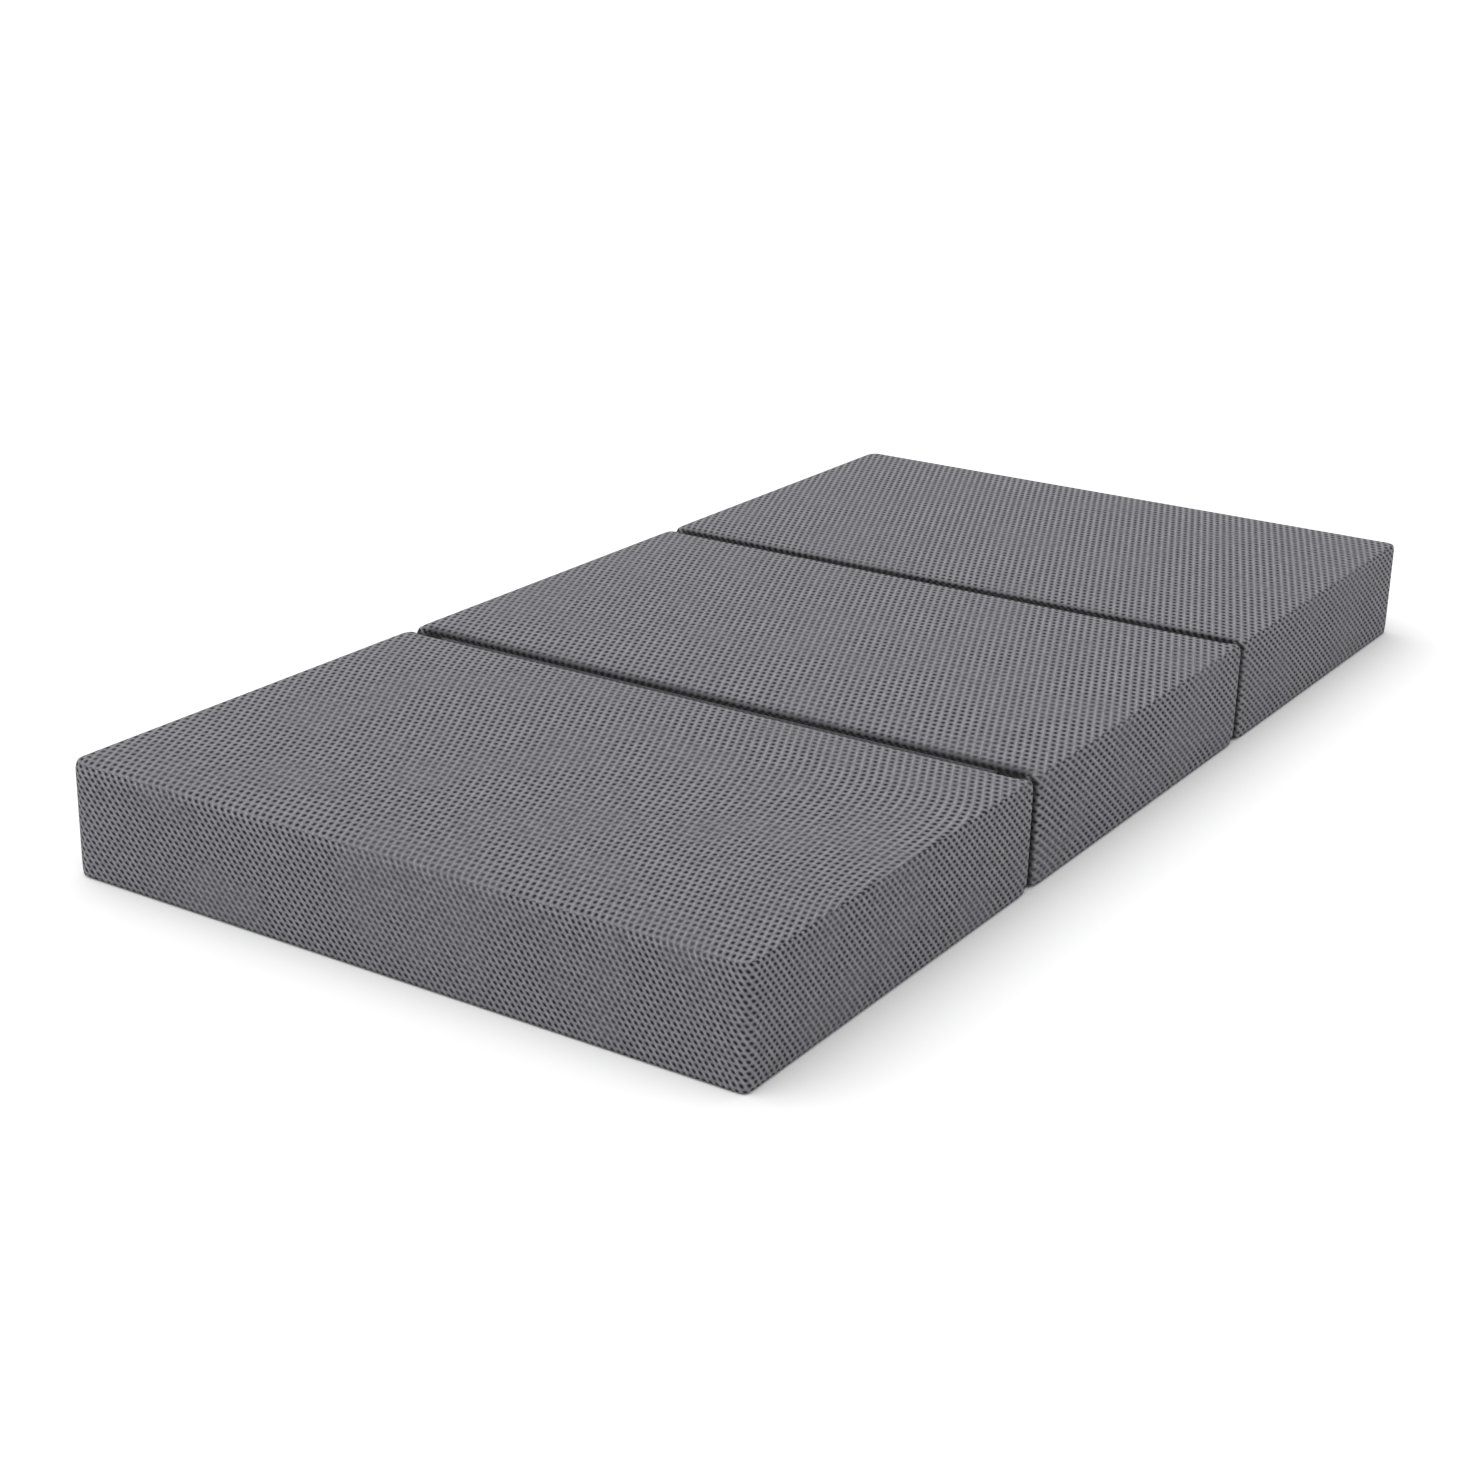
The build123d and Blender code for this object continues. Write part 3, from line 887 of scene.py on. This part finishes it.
class MATTRESS_OT_grip_dots(bpy.types.Operator):
    """Build the small rubber dots under each panel"""

    bl_idname = "mattress.grip_dots"
    bl_label = "Grip dots"

    def execute(self, context):
        rubber = grained("Grip rubber", (0.018, 0.018, 0.020), (0.010, 0.010, 0.011), 400.0, 0.1, 0.5)
        pitch = context.scene.mattress_cover.dot_pitch
        row_step = pitch * 0.866
        for panel in PANELS:
            grid = PanelGrid(panel)
            width, depth = (2 * half - 2 * DOT_MARGIN for half in grid.half)
            columns, rows = int(width / pitch), int(depth / (2 * pitch * 0.866))
            start = Vector((-pitch * (columns - 0.5) / 2, grid.centre - row_step * (2 * rows - 1) / 2, 0))
            bm = bmesh.new()
            for shift in ((0, 0), (pitch / 2, row_step)):
                bmesh.ops.create_cone(
                    bm, cap_ends=True, cap_tris=False, segments=8,
                    radius1=DOT_RADII[0], radius2=DOT_RADII[1], depth=DOT_HEIGHT,
                    matrix=Matrix.Translation(start + Vector((*shift, DOT_HEIGHT / 2))),
                )
            piece = make_piece(f"{panel}_grip_dots", bm, rubber)
            repeated(piece, "Across", columns, (pitch, 0, 0))
            repeated(piece, "Along", rows, (0, 2 * row_step, 0))
            settle(piece, f"{panel}_panel", "grip_base")
        return {"FINISHED"}


class MATTRESS_OT_liners(bpy.types.Operator):
    """Build the knitted liner round each foam block"""

    bl_idname = "mattress.liners"
    bl_label = "Inner liners"

    def execute(self, context):
        base = context.scene.mattress_foam.liner_colour
        lengthwise = (1.0, 0.35, 1.0)
        knit = grained("Liner knit", base, dimmed(base, 0.8), 1200.0, 0.2, 0.92, 0.1, lengthwise)
        for panel in PANELS:
            grid = PanelGrid(panel)
            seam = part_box(f"{panel}_liner_sleeve")[1].x
            reach, depth, tall = grid.half[0] - seam, 2 * grid.half[1], grid.roof
            around = 2 * (depth + tall) - 8 * (1 - pi / 4) * LINER_CORNER_RADIUS
            cap_area = 2 * (reach * around + tall * depth)
            for part, node, sleeve, flat, area in (
                ("liner_sleeve_knit", "liner_sleeve", True, (2 * seam, around), None),
                ("liner_cap_knit", "liner_ends", False, (2 * reach + 2 * tall, around), cap_area),
            ):
                bm = skin_part(panel, lambda f: (abs(f.calc_center_median().x) < seam) == sleeve, *LINER_GAPS)
                piece = make_piece(f"{panel}_{part}", bm, knit)
                thickened(piece, LINER)
                settle(piece, f"{panel}_panel", "liner_knit", f"{panel}_{node}")
        return {"FINISHED"}


class MATTRESS_OT_foam(bpy.types.Operator):
    """Build each panel's memory foam layer and support core"""

    bl_idname = "mattress.foam"
    bl_label = "Foam layers"

    def execute(self, context):
        look = context.scene.mattress_foam
        memory, support = (
            grained(name, base, dimmed(base, share), scale, bump_mm, 0.95)
            for name, base, share, scale, bump_mm in (
                ("Memory foam", look.memory_colour, 0.86, 650.0, 0.25),
                ("Support foam", look.support_colour, 0.84, 420.0, 0.4),
            )
        )
        for panel in PANELS:
            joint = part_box(f"{panel}_memory_foam")[0].z
            for name, material, node, upper in (
                ("memory_foam_layer", memory, "memory_foam", True),
                ("support_core", support, "support_foam", False),
            ):
                bm = skin_part(panel, lambda f: True, *FOAM_GAPS)
                bmesh.ops.bisect_plane(
                    bm, geom=bm.verts[:] + bm.edges[:] + bm.faces[:], dist=0.01 * MM,
                    plane_co=(0, 0, joint), plane_no=(0, 0, 1), clear_inner=upper, clear_outer=not upper,
                )
                bmesh.ops.holes_fill(bm, edges=[e for e in bm.edges if e.is_boundary], sides=0)
                bmesh.ops.recalc_face_normals(bm, faces=bm.faces[:])
                piece = make_piece(f"{panel}_{name}", bm, material)
                settle(piece, f"{panel}_panel", node, f"{panel}_{node}")
        return {"FINISHED"}


def hinge_web(panel, above, cloth):
    """A slack web between two panels: round the top of their seam, or round its base if above is -1."""
    axis = next(Vector(j["pos_m"]) for j in frame["joints"] if j["name"] == f"{panel}_fold")
    low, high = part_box(f"{panel}_hinge_web")
    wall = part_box("middle_cover_border")[0 if above > 0 else 1].y
    level, edge = (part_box("middle_cover_top")[1].z, TOP_RADIUS) if above > 0 else (0.0, BASE_RADIUS)
    reach = abs(wall - axis.y) + edge * (1 - cos(WEB_TURN)) + TUCK
    drop = abs(axis.z - level) + edge * (1 - sin(WEB_TURN)) + TUCK
    radius, end_turn = sqrt(reach**2 + drop**2), atan2(drop, reach)
    sweep = pi - 2 * end_turn

    def place(x, turn):
        r = radius * (1 - WEB_RISE * sin((turn - end_turn) / sweep * pi))
        return Vector((x, axis.y + r * cos(turn), axis.z - above * r * sin(turn)))

    turns = [end_turn + sweep * n / WEB_LINES for n in range(WEB_LINES + 1)]
    bm = cloth_grid(even_lines(low.x, 12 * MM, high.x), turns, place)
    uv = bm.loops.layers.uv["Weave"]
    for face in bm.faces:
        for loop in face.loops:
            x, turn = loop[uv].uv
            loop[uv].uv = (x / WEB_CELL[0], turn * radius / WEB_CELL[1])
    faced(bm, 0, 0, above)
    bmesh.ops.solidify(bm, geom=bm.faces[:], thickness=WEB)
    piece = make_piece(f"{panel}_fold_web", bm, cloth)
    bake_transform(piece)
    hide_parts(f"{panel}_hinge_web")


class MATTRESS_OT_hinge_webs(bpy.types.Operator):
    """Build the slack fabric webs that join the panels"""

    bl_idname = "mattress.hinge_webs"
    bl_label = "Hinge webs"

    def execute(self, context):
        # painted shade: the web is drawn at 0.3 of the mesh's brightness, dark like the groove it lies in
        cloth = mesh_cloth("Hinge web mesh", 0.2, 0.15, 0.0, 0.3)
        hinge_web("foot", 1, cloth)
        hinge_web("head", -1, cloth)
        return {"FINISHED"}


def zip_place(panel):
    """The zip tapes' box, and its middle height and half its height."""
    low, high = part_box(f"{panel}_zip_tapes")
    level = (low.z + high.z) / 2
    return low, high, level, high.z - level


def zip_tapes(panel, cloth):
    """Both tapes as one sheet, open along the teeth, with a cord round that opening."""
    low, high, level, half = zip_place(panel)
    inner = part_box(f"{panel}_zip_coils")[1].z - level
    start, end = (corner.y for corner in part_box(f"{panel}_zip_stops"))

    def from_teeth(y, z):
        return max(abs(z) - inner, start - y, y - end)

    def lie(y, z):
        cord = 0.35 * MM * exp(-((from_teeth(y, z) / (1.1 * MM)) ** 2))
        return Vector((low.x - cord, y, level + z))

    rim = 0.5 * MM
    ys = even_lines(low.y + rim, 5 * MM, start, 12 * MM, end, 5 * MM, high.y - rim)
    zs = [half, half - rim, half - 2 * MM, inner + 2.4 * MM, inner + 1.2 * MM, inner + 0.5 * MM, inner]
    zs = [-z for z in zs] + zs[::-1]
    bm = cloth_grid([low.y, *ys, high.y], zs, lie, lambda y, z: from_teeth(y, z) > 0)
    faced(bm, -1, 0, 0)
    tapes = make_piece(f"{panel}_zip_tape_weave", bm, cloth)
    thickened(tapes, TAPE)
    settle(tapes, f"{panel}_panel", "zip_tape", f"{panel}_zip_tapes")


def zip_teeth(panel, nylon):
    """Two rows of meshed teeth, each of them one block repeated along the zip."""
    low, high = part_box(f"{panel}_zip_coils")
    level = zip_place(panel)[2]
    pitch = bpy.context.scene.mattress_zip.tooth_pitch
    count = int((high.y - low.y - 2 * TOOTH_END - pitch / 2) / pitch) + 1
    outer = high.z - level
    bm = bmesh.new()
    for side, shift in ((1, 0.0), (-1, pitch / 2)):
        height = level + side * (TOOTH_INNER + outer) / 2
        middle = Vector(((low.x + high.x) / 2, low.y + TOOTH_END + shift, height))
        add_block(bm, middle, (high.x - low.x, TOOTH_WIDTH, outer - TOOTH_INNER))
    softened(bm, bm.edges[:], 0.42 * MM)
    teeth = make_piece(f"{panel}_zip_teeth", bm, nylon)
    repeated(teeth, "Along", count, (0, pitch, 0))
    settle(teeth, f"{panel}_panel", "zip_coil", f"{panel}_zip_coils")


def zip_facing(panel, cloth):
    """A fabric frame round the zip, lifted off the wall between its folded rims."""
    low, high, level, half = zip_place(panel)
    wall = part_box(f"{panel}_cover_border")[0].x

    def raised(y, z):
        beside = max(abs(z) - half, low.y - y, y - high.y)
        out = FACING_RISE * smoothstep(-0.1 * MM, FACING_LINES[2], beside)
        out *= 1 - smoothstep(FACING_LINES[3], FACING_WIDTH, beside)
        return Vector((wall - out, y, level + z))

    inwards = FACING_LINES[::-1]
    ys = [low.y - e for e in inwards] + even_lines(low.y, 12 * MM, high.y)[1:-1]
    ys += [high.y + e for e in FACING_LINES]
    zs = [-half - e for e in inwards] + [half + e for e in FACING_LINES]
    bm = cloth_grid(ys, zs, raised, lambda y, z: not (low.y < y < high.y and abs(z) < half))
    faced(bm, -1, 0, 0)
    settle(make_piece(f"{panel}_zip_facing", bm, cloth), f"{panel}_panel", "cover_mesh")


def zip_stitches(panel, thread):
    """A row of stitches along each long side of the facing."""
    low, high, level, half = zip_place(panel)
    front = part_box(f"{panel}_cover_border")[0].x - FACING_RISE - 0.05 * MM
    count = int((high.y - low.y) / STITCH_STEP)
    begin = (low.y + high.y) / 2 - STITCH_STEP * (count - 1) / 2
    bm = bmesh.new()
    for z in (-half - STITCH_LINE, half + STITCH_LINE):
        add_block(bm, Vector((front, begin, level + z)), STITCH_SIZE)
    softened(bm, bm.edges[:], 0.2 * MM)
    seam = make_piece(f"{panel}_zip_stitches", bm, thread)
    repeated(seam, "Along", count, (0, STITCH_STEP, 0))
    settle(seam, f"{panel}_panel", "cover_mesh")


class MATTRESS_OT_zips(bpy.types.Operator):
    """Build each zip's tapes, teeth, stops, facing and stitches"""

    bl_idname = "mattress.zips"
    bl_label = "Zips"

    def execute(self, context):
        base = context.scene.mattress_zip.tape_colour
        tape_cloth = ribbed("Woven zip tape", base, dimmed(base, 0.5), 1.2, radians(40), 0.25)
        nylon = grained("Coil nylon", (0.040, 0.040, 0.044), (0.028, 0.028, 0.030), 500.0, 0.05, 0.42)
        metal = zip_metal()
        facing_cloth = ribbed(
            "Facing tape", (0.105, 0.103, 0.112), (0.055, 0.054, 0.060), 1.4, radians(35), 0.2, 0.9
        )
        thread = grained("Sewing thread", (0.17, 0.17, 0.18), (0.10, 0.10, 0.11), 2500.0, 0.05, 0.7)
        for panel in PANELS:
            zip_tapes(panel, tape_cloth)
            zip_teeth(panel, nylon)
            stops = bevelled_copy(f"{panel}_zip_stops", f"{panel}_zip_end_stops", 0.3 * MM, metal)
            settle(stops, f"{panel}_panel", "zip_metal", f"{panel}_zip_stops")
            zip_facing(panel, facing_cloth)
            zip_stitches(panel, thread)
        return {"FINISHED"}


def bevelled_copy(node, name, width, material):
    """A CAD part's shape with its sharp edges softened."""
    bm = bmesh.new()
    bm.from_mesh(frame["nodes"][node].data)
    bmesh.ops.remove_doubles(bm, verts=bm.verts[:], dist=0.005 * MM)
    bmesh.ops.dissolve_limit(
        bm, angle_limit=radians(1), use_dissolve_boundaries=False, verts=bm.verts[:], edges=bm.edges[:]
    )
    sharp = [e for e in bm.edges if len(e.link_faces) == 2 and e.calc_face_angle() > radians(40)]
    softened(bm, sharp, width, 2, clamp_overlap=True)
    for face in bm.faces:
        face.material_index = 0
    piece = make_piece(name, bm, material)
    piece.data.set_sharp_from_angle(angle=radians(35))
    return piece


class MATTRESS_OT_sliders(bpy.types.Operator):
    """Build each zip's slider and its pull"""

    bl_idname = "mattress.sliders"
    bl_label = "Zip sliders and pulls"

    def execute(self, context):
        metal = zip_metal()
        for panel in PANELS:
            for node, name, width in (
                ("zip_slider", "zip_runner", 0.18 * MM),
                ("zip_pull", "zip_tab", 0.22 * MM),
            ):
                piece = bevelled_copy(f"{panel}_{node}", f"{panel}_{name}", width, metal)
                settle(piece, f"{panel}_{node}", "zip_metal", f"{panel}_{node}")
        return {"FINISHED"}


class MATTRESS_OT_care_label(bpy.types.Operator):
    """Build the blank care label under the foot panel's zip"""

    bl_idname = "mattress.care_label"
    bl_label = "Care label"

    def execute(self, context):
        white, shaded = (0.80, 0.80, 0.78), (0.62, 0.62, 0.60)
        satin = ribbed("Label satin", white, shaded, 0.8, radians(90), 0.05, 0.45, 0.2)
        low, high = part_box("foot_care_label")
        top = high.z - LABEL_TUCK
        width, drop = high.y - low.y, top - low.z
        middle = (low.y + high.y) / 2

        def hang(y, z):
            down = (top - z) / drop
            curl = 1.6 * MM * down**2 + 0.5 * MM * down * sin((y - middle) / width * 2.4 * pi)
            return Vector((high.x - 0.15 * MM - curl, y, z))

        bm = cloth_grid(even_lines(low.y, 2 * MM, high.y), even_lines(low.z, 2 * MM, top), hang)
        faced(bm, -1, 0, 0)
        label = make_piece("foot_blank_label", bm, satin)
        thickened(label, -LABEL)
        settle(label, "foot_panel", "care_label", "foot_care_label")
        return {"FINISHED"}


class MATTRESS_OT_stage(bpy.types.Operator):
    """Build the studio floor, its lights and the camera"""

    bl_idname = "mattress.stage"
    bl_label = "Studio"

    def execute(self, context):
        look = context.scene.mattress_stage
        scene = context.scene
        scene.view_settings.view_transform = "Standard"
        scene.view_settings.look = "None"

        bm = bmesh.new()
        bmesh.ops.create_grid(bm, x_segments=4, y_segments=4, size=60.0)
        paint, tree, shader, place = new_material("Studio floor", 0.95, Specular_IOR_Level=0.1)
        faint = add(tree, "ShaderNodeTexNoise", {"Vector": place, "Scale": 3.0}).outputs[0]
        shade = blend_colour(tree, faint, dimmed(look.floor_colour, 0.995), look.floor_colour)
        feed(tree, shader.inputs["Base Color"], shade)
        make_piece("studio_floor", bm, paint)

        world = bpy.data.worlds.new("Studio light")
        world.use_nodes = True
        sky = world.node_tree.nodes["Background"]
        sky.inputs["Color"].default_value = (1.0, 1.0, 1.0, 1.0)
        sky.inputs["Strength"].default_value = look.fill_strength
        scene.world = world

        key = bpy.data.lights.new("Soft key", "SUN")
        key.energy = look.key_strength
        key.angle = radians(75)
        lamp = bpy.data.objects.new("Soft key", key)
        lamp.rotation_mode = "QUATERNION"
        lamp.rotation_quaternion = Vector((-0.30, -0.26, 0.92)).to_track_quat("Z", "Y")
        scene.collection.objects.link(lamp)

        turn, pitch, roll = CAMERA_AZIMUTH, CAMERA_DROP, CAMERA_ROLL
        ahead = Vector((-sin(turn) * cos(pitch), cos(turn) * cos(pitch), -sin(pitch)))
        right = Vector((cos(turn), sin(turn), 0.0))
        up = right.cross(ahead)
        across = right * cos(roll) + up * sin(roll)
        upright = up * cos(roll) - right * sin(roll)
        lens = bpy.data.cameras.new("Camera")
        lens.lens = 62.0
        lens.sensor_width = 36.0
        lens.clip_end = 200.0
        camera = bpy.data.objects.new("Camera", lens)
        turned = Matrix((across, upright, -ahead)).transposed()
        camera.matrix_world = Matrix.Translation(CAMERA_PLACE) @ turned.to_4x4()
        scene.collection.objects.link(camera)
        scene.camera = camera
        return {"FINISHED"}


class MATTRESS_PT_sidebar(bpy.types.Panel):
    """Lists the steps that build the mattress"""

    bl_idname = "MATTRESS_PT_sidebar"
    bl_label = "Tri-fold mattress"
    bl_space_type = "VIEW_3D"
    bl_region_type = "UI"
    bl_category = "Mattress"

    def draw(self, context):
        layout = self.layout
        for group in ("mattress_cover", "mattress_foam", "mattress_zip", "mattress_stage"):
            settings = getattr(context.scene, group)
            box = layout.box()
            for key in settings.bl_rna.properties.keys():
                if key not in ("rna_type", "name"):
                    box.prop(settings, key)
        for step in STEPS:
            layout.operator(step.bl_idname)


SETTINGS = {
    "mattress_cover": MattressCoverSettings,
    "mattress_foam": MattressFoamSettings,
    "mattress_zip": MattressZipSettings,
    "mattress_stage": MattressStageSettings,
}
STEPS = (
    MATTRESS_OT_stage,
    MATTRESS_OT_covers,
    MATTRESS_OT_grip_dots,
    MATTRESS_OT_liners,
    MATTRESS_OT_foam,
    MATTRESS_OT_hinge_webs,
    MATTRESS_OT_zips,
    MATTRESS_OT_sliders,
    MATTRESS_OT_care_label,
)


def register():
    for settings in SETTINGS.values():
        bpy.utils.register_class(settings)
    for name, settings in SETTINGS.items():
        setattr(bpy.types.Scene, name, PointerProperty(type=settings))
    for step in STEPS:
        bpy.utils.register_class(step)
    bpy.utils.register_class(MATTRESS_PT_sidebar)


def unregister():
    bpy.utils.unregister_class(MATTRESS_PT_sidebar)
    for step in reversed(STEPS):
        bpy.utils.unregister_class(step)
    for name in reversed(SETTINGS):
        delattr(bpy.types.Scene, name)
    for settings in reversed(SETTINGS.values()):
        bpy.utils.unregister_class(settings)


def main():
    register()
    bpy.ops.mattress.stage()
    bpy.ops.mattress.covers()
    bpy.ops.mattress.grip_dots()
    bpy.ops.mattress.liners()
    bpy.ops.mattress.foam()
    bpy.ops.mattress.hinge_webs()
    bpy.ops.mattress.zips()
    bpy.ops.mattress.sliders()
    bpy.ops.mattress.care_label()
    bpy.context.view_layer.update()


if __name__ == "__main__":
    main()
